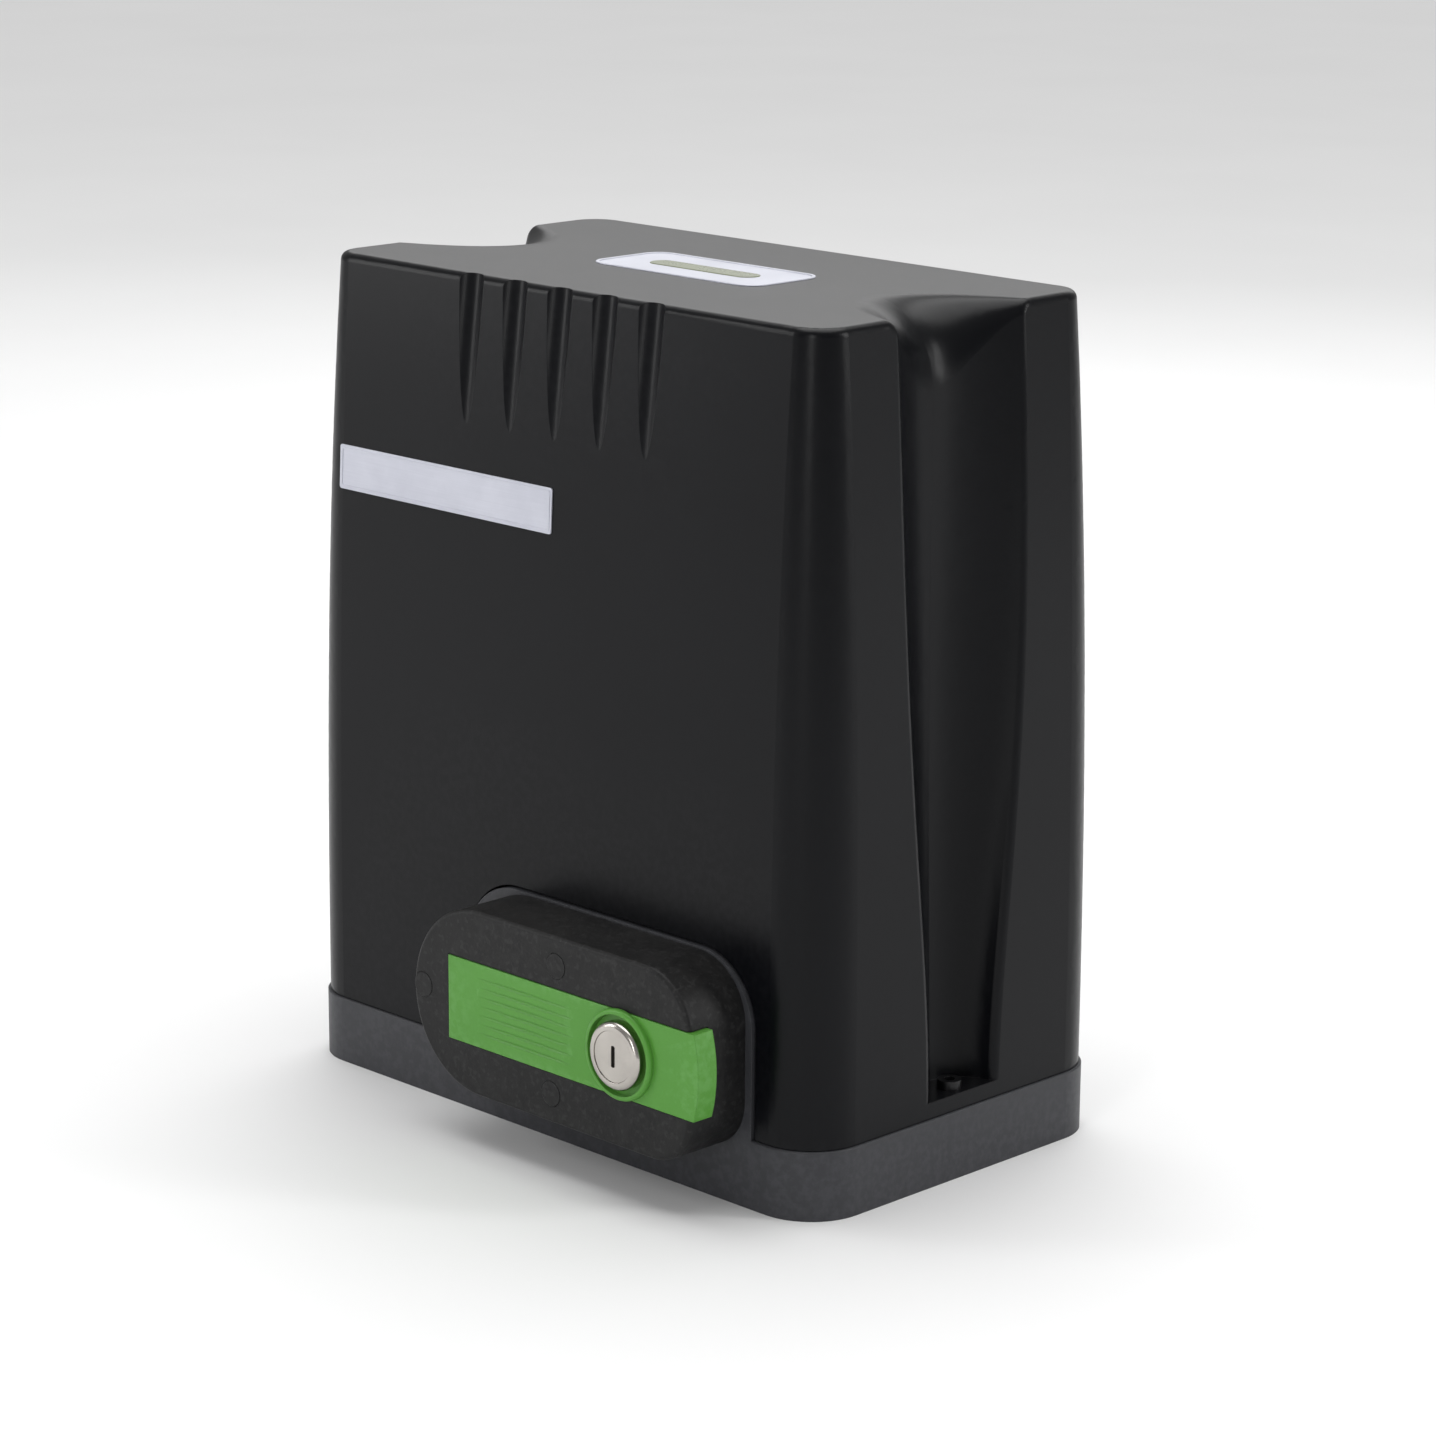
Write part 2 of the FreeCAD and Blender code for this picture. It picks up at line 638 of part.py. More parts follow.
def gearbox_cover():
    """The round lid in front of the wheel, with its bearing boss and six screw holes."""
    face = -dim("case_half") - dim("lid_thickness")
    lid = joined("LidSolids", [
        rod("LidPlate", (OX, face, OZ), "y", "dims.case_radius", "dims.lid_thickness"),
        rod("LidSpigot", (OX, -dim("case_half"), OZ), "y", "dims.case_bore - 0.1", "3"),
        rod("LidBoss", (OX, face - 10, OZ), "y", "dims.bush_radius + 5", "12"),
    ])
    holes = [rod("LidScrewHole", (OX + 47.6 * cos(pi * n / 3 + pi / 6), face - 1, OZ + 47.6 * sin(pi * n / 3 + pi / 6)),
                 "y", "2.1", "10") for n in range(6)]
    holes.append(rod("LidBore", (OX, face - 11, OZ), "y", "dims.bush_radius", "24"))
    return keep(cut("GearboxCover", lid, holes), "gearbox_cover")


def screws(label, places, along, head, shank, head_high, shank_long, socket):
    """A set of socket-head screws; each place is the seat under the head, each head stands back from it."""
    made = []
    direction = TURN[along].multVec(Vector(0, 0, 1))
    for place in places:
        seat = Vector(*place)
        parts = joined("Screw", [
            rod("ScrewHead", seat - direction * value_of(head_high), along, head, head_high),
            rod("ScrewShank", seat, along, shank, shank_long)])
        recess = solid("Prism", "ScrewSocket", seat - direction * value_of(head_high), along,
                       Circumradius=socket, Height=f"{head_high} * 0.6")
        recess.Polygon = 6
        made.append(cut("CutScrew", parts, [recess]))
    return keep(apart(label.title().replace("_", ""), made), label)


def drive_line():
    """Worm, wheel, output shaft and pinion with their bushes, bearings, seal, key and fasteners."""
    lead = atan2(dim("wheel_module") / 2, dim("worm_radius"))
    pitch_radius = dim("wheel_module") * dim("wheel_teeth") / 2
    at_front = dim("wheel_width") / 2 * tan(lead) / pitch_radius
    keep(gear("WormWheel", "-dims.wheel_width / 2", "dims.wheel_width", "dims.wheel_module",
              "dims.wheel_teeth", 0.24, "dims.shaft_radius", at_front, lead), "worm_wheel")
    pinion = gear("PinionTeeth", "dims.pinion_front", "dims.pinion_width", "dims.pinion_module",
                  "dims.pinion_teeth", 0.2, "dims.shaft_radius")
    keyway = block("PinionKeyway", (OX - 4, dim("pinion_front") - 1, OZ + 9), "8", "40", "6.8")
    hub = sleeve("PinionHub", (OX, dim("pinion_front") - 3, OZ), "y", "20", "dims.shaft_radius", "3")
    keep(cut("DrivePinion", joined("PinionBlank", [pinion, hub]), [keyway]), "drive_pinion")

    shaft_back = dim("pinion_front") + dim("pinion_width")
    shaft = rod("ShaftRod", (OX, -dim("shaft_front"), OZ), "y", "dims.shaft_radius",
                f"dims.shaft_front + {shaft_back}")
    shaft_cuts = [
        rod("PlungerBore", (OX, -dim("shaft_front") - 1, OZ), "y", "dims.plunger_radius + 0.1", "24"),
        rod("EndThread", (OX, shaft_back - 20, OZ), "y", "3", "21"),
        block("ShaftKeyway", (OX - 4, dim("pinion_front") + 2, OZ + 8.5), "8", "22", "6"),
    ]
    keep(cut("OutputShaft", shaft, shaft_cuts), "output_shaft")
    keep(block("PinionKey", (OX - 4, dim("pinion_front") + 2, OZ + 8.5), "8", "22", "7.2"), "pinion_key")
    keep(sleeve("PinionWasher", (OX, shaft_back, OZ), "y", "17", "3.1", "3"), "pinion_washer")
    head = rod("PinionScrewHead", (OX, shaft_back + 3, OZ), "y", "5", "5")
    stem = rod("PinionScrewStem", (OX, shaft_back - 16, OZ), "y", "3", "19")
    recess = solid("Prism", "PinionScrewSocket", (OX, shaft_back + 5, OZ), "y", Circumradius="2.9", Height="4")
    recess.Polygon = 6
    keep(cut("PinionScrew", joined("PinionScrewSolid", [head, stem]), [recess]), "pinion_screw")

    free = "dims.shaft_radius + dims.running_gap"
    keep(sleeve("FrontBush", (OX, -38, OZ), "y", "dims.bush_radius", free, "19"), "output_bush_front")
    keep(sleeve("RearBush", (OX, 17, OZ), "y", "dims.bush_radius", free, "50"), "output_bush_rear")
    keep(sleeve("OilSeal", (OX, dim("boss_end") - 7, OZ), "y", "17.5", free, "7"), "output_oil_seal")

    worm = new_body("WormShaft", (WORM_X, 0, 0))
    half = new_sketch(worm, "XZ")
    root = dim("worm_radius") - 1.25 * dim("wheel_module")
    foot = dim("worm_shaft_foot")
    tip = foot + dim("worm_shaft_length")
    steps = [(7, foot, 28), (root, 28, 78), (9, 78, 98), (7, 98, tip)]
    points = [(0, foot)]
    for radius, low, high in steps:
        points += [(radius, low), (radius, high)]
    corners(half, points + [(0, tip)])
    turned(worm, half)
    keep(worm_thread(worm, root), "worm_shaft")

    in_bearing = "dims.worm_shaft_radius + dims.running_gap"
    keep(sleeve("LowerBearing", (WORM_X, 0, 14), "z", "14", in_bearing, "10"), "worm_bearing_lower")
    keep(sleeve("UpperBearing", (WORM_X, 0, 100), "z", "16", in_bearing, "10"), "worm_bearing_upper")


def worm_thread(worm, root):
    """The single-start thread, swept up the worm as a helix and cut off square."""
    module = dim("wheel_module")
    pitch = pi * module
    middle, turns = OZ - pitch / 2 - 3 * pitch, 7
    profile = new_sketch(worm, "XZ")
    outer, pitch_line = dim("worm_radius") + module, dim("worm_radius")
    half = pitch / 4 - 0.06
    grow_in = (pitch_line - root + 0.4) * tan(PRESSURE_ANGLE)
    shrink_out = (outer - pitch_line) * tan(PRESSURE_ANGLE)
    corners(profile, [(root - 0.4, middle - half - grow_in), (outer, middle - half + shrink_out),
                      (outer, middle + half - shrink_out), (root - 0.4, middle + half + grow_in)])
    thread = worm.newObject("PartDesign::AdditiveHelix", "WormThread")
    thread.Profile = profile
    thread.ReferenceAxis = (profile, ["V_Axis"])
    thread.Mode = 0
    thread.Pitch = pitch
    thread.Height = turns * pitch
    return worm


def motor():
    """Stator, rotor, can and top bell over the worm barrel."""
    low = dim("motor_bottom")
    high = low + dim("motor_height")
    axis = (WORM_X, 0)
    can = new_body("MotorCan", (WORM_X, 0, 0))
    half = new_sketch(can, "XZ")
    outer = dim("motor_radius")
    corners(half, [(outer - 3, low), (outer, low), (outer, high), (outer - 3, high)])
    turned(can, half)
    keep(can, "motor_can")
    keep(cut("Stator", rod("StatorCore", (*axis, low + 20), "z", "dims.motor_radius - 3", "62"),
             [rod("StatorBore", (*axis, low + 19), "z", "dims.rotor_radius + 0.5", "64")]), "stator")
    for label, height in (("winding_lower", low + 6), ("winding_upper", low + 82)):
        keep(sleeve(label.title().replace("_", ""), (*axis, height), "z", "dims.motor_radius - 6",
                    "dims.rotor_radius + 3", "12"), label)
    keep(sleeve("Rotor", (*axis, low + 20), "z", "dims.rotor_radius", "dims.worm_shaft_radius", "62"), "rotor")
    bell = new_body("TopBell", (WORM_X, 0, 0))
    section = new_sketch(bell, "XZ")
    corners(section, [(10, high - 9), (outer - 3, high - 9), (outer - 3, high), (outer, high), (outer, high + 3),
                      (18, high + 12), (0, high + 12), (0, high + 8), (10, high + 8)])
    turned(bell, section)
    keep(bell, "motor_top_bell")
    keep(sleeve("TopBearing", (*axis, high - 8), "z", "10", "dims.worm_shaft_radius + dims.running_gap", "8"),
         "motor_bearing_top")


# ------------------------------------------------------------ release unit

def release_housing():
    """The moulded block that guides the lever, lock barrel and plunger."""
    body = new_body("ReleaseHousing")
    face = new_sketch(body, "XZ", "dims.housing_back")
    rectangle(face, "dims.housing_left", "dims.housing_bottom", "dims.housing_right - dims.housing_left",
              "dims.housing_top - dims.housing_bottom", "18", ["22", "33.4", "33.4"])
    pad(body, face, "dims.housing_front - dims.housing_back")
    front = -dim("housing_front")
    soften(body, "1.6", lambda edge: abs(edge.BoundBox.YMin - front) + abs(edge.BoundBox.YMax - front) < 1e-3)

    gap = "dims.lever_gap"
    lever_bed = new_sketch(body, "XZ", "dims.housing_front + 1")
    rectangle(lever_bed, f"dims.lever_left - {gap}", f"dims.lever_bottom - {gap}", "140",
              f"dims.lever_top - dims.lever_bottom + 2 * {gap}", "0.8")
    pocket(body, lever_bed, f"dims.lever_thickness + 0.7 + {gap}")
    sweep = new_sketch(body, "XY", "dims.lever_bottom - dims.lever_gap")
    ring(sweep, "dims.hinge_across", "-dims.hinge_back", "dims.hinge_sweep")
    pocket(body, sweep, f"dims.lever_top - dims.lever_bottom + 2 * {gap}", along_normal=True)
    pin_hole = new_sketch(body, "XY", "dims.lever_bottom - 5")
    ring(pin_hole, "dims.hinge_across", "-dims.hinge_back", "dims.hinge_pin_radius")
    pocket(body, pin_hole, "dims.lever_top - dims.lever_bottom + 10", along_normal=True)

    for depth, left, right in (("4.5", 50, 86), ("8.6", 56, 86)):
        room = new_sketch(body, "XZ", "dims.lever_face - dims.lever_thickness")
        rectangle(room, str(left), "36.4", str(right - left), "32.4", "3")
        pocket(body, room, depth)
    cam_room = new_sketch(body, "XZ", "dims.lever_face - dims.lever_thickness - 8.6")
    rectangle(cam_room, "48", "36.4", "38", "32.4", "3")
    pocket(body, cam_room, "7")
    guide = new_sketch(body, "XZ", "dims.housing_front")
    ring(guide, "dims.output_across", "dims.output_up", "dims.plunger_radius + 0.08")
    pocket(body, guide, "40")
    seats = new_sketch(body, "XZ", "dims.housing_front")
    for x, z in HOUSING_SCREWS:
        ring(seats, str(x), str(z), "dims.plug_hole_radius")
    pocket(body, seats, "20")
    holes = new_sketch(body, "XZ", "dims.housing_front")
    for x, z in HOUSING_SCREWS:
        ring(holes, str(x), str(z), "2.1")
    pocket(body, holes, "40")
    return keep(body, "release_housing")


RIDGES = 7


def release_lever():
    """The flush pull lever: knuckle, lock boss with its raised ring, finger end and fine grip grooves."""
    body = new_body("LeverBody")
    plan = new_sketch(body, "XY", "dims.lever_bottom")
    face, back = -dim("lever_face"), -dim("lever_face") + dim("lever_thickness")
    left, right, bulge = dim("lever_left"), dim("lever_right"), 0.6
    corners(plan, [(left, face), (right, face), (right + bulge, face + 1.2), (right + bulge, back),
                   (HINGE_X, back), (left + 1.6, back - 1.5), (left + 0.2, face + 3)])
    pad(body, plan, "dims.lever_top - dims.lever_bottom")
    tip = new_sketch(body, "XZ", "dims.lever_face")
    reach = 2.2
    middle = (dim("lever_bottom") + dim("lever_top")) / 2
    half = (dim("lever_top") - dim("lever_bottom")) / 2
    radius = (half * half + reach * reach) / (2 * reach)
    centre = right + bulge + reach - radius
    swing = asin(half / radius) * 180 / pi
    outline(tip, [arc(centre, middle, radius, -swing, swing),
                  line(right + bulge, middle + half, right - 4, middle + half),
                  line(right - 4, middle + half, right - 4, middle - half),
                  line(right - 4, middle - half, right + bulge, middle - half)])
    nose = pad(body, tip, "dims.lever_thickness")
    nose.Reversed = True
    knuckle = new_sketch(body, "XY", "dims.lever_bottom")
    ring(knuckle, "dims.hinge_across", "-dims.hinge_back", "3.8")
    pad(body, knuckle, "dims.lever_top - dims.lever_bottom")
    raised = new_sketch(body, "XZ", "dims.lever_face - 3")
    ring(raised, "dims.lock_across", "dims.lock_up", "15.1")
    pad(body, raised, "3")
    rim = new_sketch(body, "XZ", "dims.lever_face")
    ring(rim, "dims.lock_across", "dims.lock_up", "16")
    pad(body, rim, "2")
    front = face - 2
    soften(body, "1.2", lambda edge: abs(edge.BoundBox.YMin - front) + abs(edge.BoundBox.YMax - front) < 1e-3)
    sink = new_sketch(body, "XZ", "dims.lever_face + 3")
    ring(sink, "dims.lock_across", "dims.lock_up", "14.2")
    pocket(body, sink, "3.6")
    bore = new_sketch(body, "XZ", "dims.lever_face + 3")
    ring(bore, "dims.lock_across", "dims.lock_up", "dims.barrel_radius")
    pocket(body, bore, "20")
    pin_bore = new_sketch(body, "XY", "dims.lever_bottom - 1")
    ring(pin_bore, "dims.hinge_across", "-dims.hinge_back", "dims.hinge_pin_radius + dims.running_gap")
    pocket(body, pin_bore, "dims.lever_top - dims.lever_bottom + 2", along_normal=True)
    grooves = []
    for n in range(RIDGES):
        height = middle + (n - (RIDGES - 1) / 2) * 3.3
        groove = solid("Ellipsoid", "Groove", (19 + 1.5 * (n % 2), face - 0.35, height), "x",
                       Radius1="27", Radius2="0.75", Radius3="0.8")
        grooves.append(groove)
    return keep(cut("ReleaseLever", body, grooves), "release_lever")


def lock():
    """Cam lock: domed bezel and barrel, turning plug with its keyway, nut and cam."""
    face, back = -dim("lever_face"), -dim("lever_face") + dim("lever_thickness")
    at = (LOCK_X, 0, LOCK_Z)
    body = new_body("LockBody", at)
    half = new_sketch(body, "XY")
    seat = face + 0.6
    outer, barrel, inner = dim("bezel_radius"), dim("barrel_radius"), dim("plug_radius") + dim("running_gap")
    dome = 4.6
    outline(half, [line(barrel, seat, outer, seat), line(outer, seat, outer, seat - 2.6),
                   Part.Arc(Vector(outer, seat - 2.6, 0), Vector(outer - 0.75, seat - 4.2, 0),
                            Vector(outer - 2.2, seat - dome, 0)),
                   line(outer - 2.2, seat - dome, inner, seat - dome), line(inner, seat - dome, inner, seat - 1.4),
                   line(inner, seat - 1.4, 7.1, seat - 1.4), line(7.1, seat - 1.4, 7.1, -82.2),
                   line(7.1, -82.2, barrel, -82.2), line(barrel, -82.2, barrel, seat)])
    turned(body, half)
    keep(body, "lock_body")
    plug = new_body("LockPlugTurned", at)
    core = new_sketch(plug, "XY")
    corners(core, [(0, seat - dome + 0.3), (dim("plug_radius"), seat - dome + 0.3), (dim("plug_radius"), seat - 1.45),
                   (7.05, seat - 1.45), (7.05, -82), (4, -82), (4, -79.2), (0, -79.2)])
    turned(plug, core)
    keyway = new_sketch(plug, "XZ", f"{-(seat - dome)} + 1")
    rectangle(keyway, "-0.9", "-3.8", "1.8", "7.6", "0.6")
    pocket(plug, keyway, "9")
    keep(plug, "lock_plug")
    nut = solid("Prism", "LockNutBlank", (LOCK_X, back, LOCK_Z), "y", Circumradius="15.2", Height="3.6")
    nut.Polygon = 6
    keep(cut("LockNut", nut, [rod("LockNutBore", (LOCK_X, back - 1, LOCK_Z), "y", "dims.barrel_radius", "6")]), "lock_nut")
    cam = new_body("CamPlate", at)
    arm = new_sketch(cam, "XZ", "79.5")
    rectangle(arm, "-5", "-6", "10", "20.5", "4.4")
    pad(cam, arm, "2.5")
    hub = new_sketch(cam, "XZ", "85")
    ring(hub, "0", "0", "4")
    pocket(cam, hub, "8")
    keep(cam, "lock_cam")


def release_fittings():
    """Hinge pin, plunger, housing screws and the plugs over them."""
    keep(rod("HingePin", (HINGE_X, HINGE_Y, dim("lever_bottom") - 5), "z", "dims.hinge_pin_radius",
             "dims.lever_top - dims.lever_bottom + 10"), "release_hinge_pin")
    tip = -dim("lever_face") + dim("lever_thickness") + 0.35
    keep(rod("Plunger", (OX, tip, OZ), "y", "dims.plunger_radius", str(-16 - tip)), "release_plunger")
    seat = -dim("housing_front") + 20
    screws("housing_screws", [(x, seat, z) for x, z in HOUSING_SCREWS], "y", "3.6", "2.05", "4", "12", "1.9")
    plugs = []
    for x, z in HOUSING_SCREWS:
        plugs.append(rod("Plug", (x, -dim("housing_front") - 0.1, z), "y", "dims.plug_hole_radius - 0.1", "4"))
    keep(apart("HousingPlugs", plugs), "housing_plugs")


# ------------------------------------------------------------ control gear and trims

def control_gear():
    """Mounting plate, board and its parts, capacitor, transformer, limit sensor and cable grommet."""
    plate = new_body("MountingPlate")
    side = new_sketch(plate, "XZ", "-62")
    corners(side, [(-74, 31), (-40, 31), (-40, 104), (-12, 104), (-12, 262), (-104, 262), (-104, 112),
                   (-74, 112)])
    pad(plate, side, "2")
    foot = new_sketch(plate, "XY", "dims.base_height")
    rectangle(foot, "-74", "44", "34", "18", "2")
    pad(plate, foot, "6.5")
    keep(plate, "mounting_plate")
    keep(block("ControlBoard", (-84, 48, 118), "66", "1.6", "130"), "control_board")
    keep(apart("BoardPosts", [rod("Post", (x, 49.6, z), "y", "2.5", "10.4") for x in (-80, -22) for z in (123, 243)]),
         "board_posts")
    keep(apart("TerminalBlocks", [block("Terminal", (-80 + 20 * n, 36, 120), "18", "12", "10") for n in range(3)]),
         "terminal_blocks")
    keep(apart("Relays", [block("Relay", (-76 + 24 * n, 32, 200), "19", "16", "15.5") for n in range(2)]), "relays")
    keep(block("FuseHolder", (-76, 41, 176), "24", "7", "8"), "fuse_holder")
    keep(rod("Capacitor", (-84, 10, 118), "z", "17", "72"), "run_capacitor")
    clamp = joined("ClampSolids", [rod("ClampBand", (-84, 10, 148), "z", "18.5", "12"),
                                   block("ClampFoot", (-102.5, 10, 148), "3", "50", "12")])
    keep(cut("CapacitorClamp", clamp, [rod("ClampBore", (-84, 10, 147), "z", "17", "14")]), "capacitor_clamp")
    core = block("TransformerCore", (-104, -28, DECK), "32", "50", "42")
    coil = block("TransformerCoil", (-99.5, -23, DECK + 42), "23", "40", "8")
    keep(joined("Transformer", [core, coil]), "transformer")
    keep(block("LimitSensor", (-42, 62, 110), "30", "6", "18"), "limit_sensor")
    body = new_body("CableGrommet", (-46, -51, 0))
    disc = new_sketch(body, "XY", "dims.base_height")
    centred(disc, "42", "25", "12.4")
    pad(body, disc, "2.5")
    neck = new_sketch(body, "XY", "dims.base_height - 6")
    centred(neck, "35.8", "21.8", "10.8")
    pad(body, neck, "6")
    lower = new_sketch(body, "XY", "dims.base_height - 8")
    centred(lower, "39", "25", "12.4")
    pad(body, lower, "2.5")
    bores = new_sketch(body, "XY", "dims.base_height - 9")
    for across in (-9, 9):
        ring(bores, str(across), "0", "4.5")
    pocket(body, bores, "14", along_normal=True)
    keep(body, "cable_grommet")


def trims():
    """Bare front plate and bare top badge, both seated on the hood."""
    low, high = dim("label_bottom"), dim("label_bottom") + dim("label_height")
    rise, run = dim("label_height"), wall_inset(high) - wall_inset(low)
    face = wall_inset(low) - dim("base_depth") / 2
    plate = new_body("FrontLabel", (0, face, low))
    plate.Placement = Placement(Vector(0, face, low), Rotation(Vector(1, 0, 0), -atan2(run, rise) * 180 / pi))
    shape = new_sketch(plate, "XZ", "-0.4")
    rectangle(shape, "dims.label_left", "0", "dims.label_width", "dims.label_height", "1")
    pad(plate, shape, "dims.trim_thickness")
    keep(plate, "front_label")
    badge = new_body("TopBadge", (1.5, 1.0, 0))
    shape = new_sketch(badge, "XY", "dims.total_height - 0.6")
    centred(shape, "dims.badge_width", "dims.badge_depth", "dims.badge_corner")
    pad(badge, shape, "dims.trim_thickness + 0.2")
    keep(badge, "top_badge")


base_casting()
cover()
gearbox_housing()
gearbox_cover()
drive_line()
motor()
release_housing()
release_lever()
lock()
release_fittings()
control_gear()
trims()
screws("cover_screws", [(side * dim("screw_across"), 0, DECK + 6) for side in (-1, 1)], "-z",
       "4.2", "2", "3.2", "18", "2.2")
screws("gearbox_cover_screws",
       [(OX + 47.6 * cos(pi * n / 3 + pi / 6), -dim("case_half") - dim("lid_thickness"),
         OZ + 47.6 * sin(pi * n / 3 + pi / 6)) for n in range(6)], "y", "3.2", "1.6", "3", "16", "1.8")
screws("gearbox_bolts", [(x, y, DECK + 7) for x in (-61, 79) for y in (-30, 30)], "-z",
       "5.2", "2.5", "5", "20", "2.9")


# ------------------------------------------------------------ check and write

doc.recompute()
for item in doc.Objects:
    if "Invalid" in item.State or "Error" in item.State:
        raise RuntimeError(f"{item.Label} did not build: {item.State}")
os.makedirs("parts", exist_ok=True)
for node in NODES:
    shape = node.Shape
    if shape.isNull() or not shape.isValid():
        raise RuntimeError(f"{node.Label} has no valid shape")
    shape.exportStep(f"parts/{node.Label}.step")
    print(f"{node.Label:24s} solids {len(shape.Solids):2d} volume {shape.Volume / 1000:8.2f} cm3")
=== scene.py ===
"""Studio scene of the sliding gate motor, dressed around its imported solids. Lengths are in metres."""

import json
import math

import bmesh
import bpy
from mathutils import Matrix, Vector


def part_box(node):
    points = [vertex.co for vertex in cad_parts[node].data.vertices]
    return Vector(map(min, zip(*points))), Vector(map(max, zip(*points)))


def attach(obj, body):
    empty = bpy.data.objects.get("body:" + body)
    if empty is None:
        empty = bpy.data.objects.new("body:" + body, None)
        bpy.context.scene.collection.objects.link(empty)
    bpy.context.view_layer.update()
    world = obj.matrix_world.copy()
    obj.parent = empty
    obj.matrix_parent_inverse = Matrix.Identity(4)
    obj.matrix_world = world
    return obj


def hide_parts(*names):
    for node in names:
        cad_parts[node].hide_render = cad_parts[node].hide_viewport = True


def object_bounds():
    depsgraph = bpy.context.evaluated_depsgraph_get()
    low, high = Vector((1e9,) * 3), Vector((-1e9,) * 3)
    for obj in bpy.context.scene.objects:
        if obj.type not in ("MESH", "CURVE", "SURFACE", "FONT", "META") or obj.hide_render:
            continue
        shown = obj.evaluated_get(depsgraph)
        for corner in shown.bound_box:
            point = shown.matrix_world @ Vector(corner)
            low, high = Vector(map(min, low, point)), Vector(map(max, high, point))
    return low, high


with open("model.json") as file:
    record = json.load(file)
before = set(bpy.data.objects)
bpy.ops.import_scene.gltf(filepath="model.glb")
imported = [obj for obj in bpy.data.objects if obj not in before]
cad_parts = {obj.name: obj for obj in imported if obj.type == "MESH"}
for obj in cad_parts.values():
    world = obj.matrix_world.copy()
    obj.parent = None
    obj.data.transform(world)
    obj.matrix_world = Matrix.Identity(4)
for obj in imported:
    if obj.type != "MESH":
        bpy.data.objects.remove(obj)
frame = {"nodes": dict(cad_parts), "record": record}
CAD_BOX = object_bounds()

MM = 0.001
NODES = frame["nodes"]


# ------------------------------------------------------------ finishes

class Tone:
    """A node's output; arithmetic on it adds Math nodes to its finish."""

    def __init__(self, finish, socket):
        self.finish, self.socket = finish, socket

    def maths(self, operation, first, second):
        return self.finish.node("Math", {"operation": operation}, {0: first, 1: second})

    def __add__(self, other):
        return self.maths("ADD", self, other)

    __radd__ = __add__

    def __mul__(self, other):
        return self.maths("MULTIPLY", self, other)

    __rmul__ = __mul__

    def within(self, low, high):
        """0 up to low, 1 from high on, straight between."""
        span = {"Value": self, "From Min": low, "From Max": high}
        return self.finish.node("MapRange", {"clamp": True}, span)


class Finish:
    """One material, built node by node around a Principled shader; place is in millimetres on the piece."""

    def __init__(self, name):
        self.material = bpy.data.materials.new(name)
        self.material.use_nodes = True
        self.tree = self.material.node_tree
        self.tree.nodes.clear()
        rest_place = self.node("TexCoord", {}, {}, "Object")
        self.place = self.node("VectorMath", {"operation": "SCALE"}, {0: rest_place, "Scale": 1 / MM})

    def node(self, kind, settings, inputs, output=0):
        made = self.tree.nodes.new("ShaderNode" + kind)
        for key, value in settings.items():
            setattr(made, key, value)
        for key, value in inputs.items():
            if isinstance(value, Tone):
                self.tree.links.new(value.socket, made.inputs[key])
            else:
                made.inputs[key].default_value = value
        return Tone(self, made.outputs[output])

    def mottle(self, per_mm, detail=4.0, rough=0.55, stretch=(1, 1, 1)):
        """Cloudy noise with so many cells per millimetre; stretch squeezes it for brushed or laid looks."""
        place = self.place
        if stretch != (1, 1, 1):
            place = self.node("VectorMath", {"operation": "MULTIPLY"}, {0: place, 1: stretch})
        sockets = {"Vector": place, "Scale": per_mm, "Detail": detail, "Roughness": rough}
        return self.node("TexNoise", {}, sockets, "Fac")

    def blend(self, share, first, second):
        """Colours mixed by a share."""
        return self.node("Mix", {"data_type": "RGBA"}, {0: share, 6: first, 7: second}, 2)

    def shade(self, **sockets):
        """Close the material with a Principled shader; Base_Color stands for its Base Color socket."""
        out = self.tree.nodes.new("ShaderNodeOutputMaterial")
        named = {key.replace("_", " "): value for key, value in sockets.items()}
        shader = self.node("BsdfPrincipled", {}, named)
        self.tree.links.new(shader.socket, out.inputs["Surface"])
        return self.material


def rgb(red, green, blue):
    return (red, green, blue, 1.0)


DUST = rgb(0.20, 0.19, 0.175)
CLOUD_SHARE, FINE_SHARE = 0.7, 0.3      # how far the broad clouds and the fine grain steer the colour
TINT_FROM, TINT_TO = 0.36, 0.64         # noise levels between which the second colour comes in
RUB_PER_MM, DUST_PER_MM = 0.35, 0.035
BUMP_STRENGTH, COAT_ROUGHNESS, BEVEL_SAMPLES = 0.8, 0.25, 4


def speckled(finish, tint, second, grain, share):
    """Scattered lighter specks, about twice as coarse as the grain."""
    pale = rgb(*[min(1.0, part * 2.4 + 0.03) for part in second])
    spots = finish.mottle(grain * 0.45, 2.0, 0.5).within(0.56, 0.66)
    return finish.blend(spots * share, tint, pale)


def rubbed(finish, tint, worn, share):
    """Edges rubbed in patches to the worn colour."""
    edges = finish.node("NewGeometry", {}, {}, "Pointiness").within(0.515, 0.56)
    patches = finish.mottle(RUB_PER_MM, 5.0).within(0.42, 0.62)
    return finish.blend(edges * patches * share, tint, rgb(*worn))


def dusted(finish, tint, share):
    """A thin uneven film on what faces up."""
    facing = finish.node("TexCoord", {}, {}, "Normal")
    upward = finish.node("SeparateXYZ", {}, {0: facing}, "Z").within(0.2, 1.0)
    film = upward * finish.mottle(DUST_PER_MM, 7.0, 0.65).within(0.3, 0.75)
    return finish.blend(film * share, tint, DUST)


